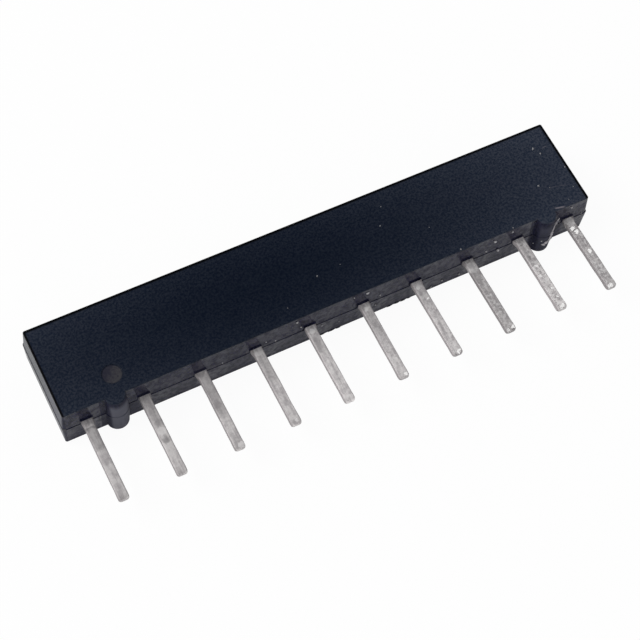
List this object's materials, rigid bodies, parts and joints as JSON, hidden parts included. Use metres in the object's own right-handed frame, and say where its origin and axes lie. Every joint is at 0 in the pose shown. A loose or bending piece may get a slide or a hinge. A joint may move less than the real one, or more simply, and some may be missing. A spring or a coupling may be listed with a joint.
{
  "type": "resistor network",
  "caption": "Flat moulded epoxy bar with one row of flat tinned leads along a long side; inside, thick-film resistors on a ceramic plate share one common lead.",
  "frame": {"origin": "centre of the flat back face of the moulded body", "axes": "+X along the row of leads away from lead one, the leads point to -Y, +Z out of the front face"},
  "size_m": [0.025, 0.0083, 0.0024],
  "materials": {
    "epoxy": "satin",
    "tinned_lead": "dull tin",
    "alumina": "matte",
    "conductor_film": "fired silver film",
    "resistor_film": "matte",
    "overglaze": "gloss",
    "solder": "satin"
  },
  "bodies": {
    "root": {"moulded_body": "epoxy", "ceramic_plate": "alumina", "common_bus": "conductor_film", "overglaze": "overglaze", "lead_1": "tinned_lead", "lead_2": "tinned_lead", "lead_3": "tinned_lead", "lead_4": "tinned_lead", "lead_5": "tinned_lead", "lead_6": "tinned_lead", "lead_7": "tinned_lead", "lead_8": "tinned_lead", "lead_9": "tinned_lead", "lead_10": "tinned_lead", "solder_1": "solder", "solder_2": "solder", "solder_3": "solder", "solder_4": "solder", "solder_5": "solder", "solder_6": "solder", "solder_7": "solder", "solder_8": "solder", "solder_9": "solder", "solder_10": "solder", "pad_2": "conductor_film", "pad_3": "conductor_film", "pad_4": "conductor_film", "pad_5": "conductor_film", "pad_6": "conductor_film", "pad_7": "conductor_film", "pad_8": "conductor_film", "pad_9": "conductor_film", "pad_10": "conductor_film", "resistor_2": "resistor_film", "resistor_3": "resistor_film", "resistor_4": "resistor_film", "resistor_5": "resistor_film", "resistor_6": "resistor_film", "resistor_7": "resistor_film", "resistor_8": "resistor_film", "resistor_9": "resistor_film", "resistor_10": "resistor_film"}
  },
  "joints": []
}
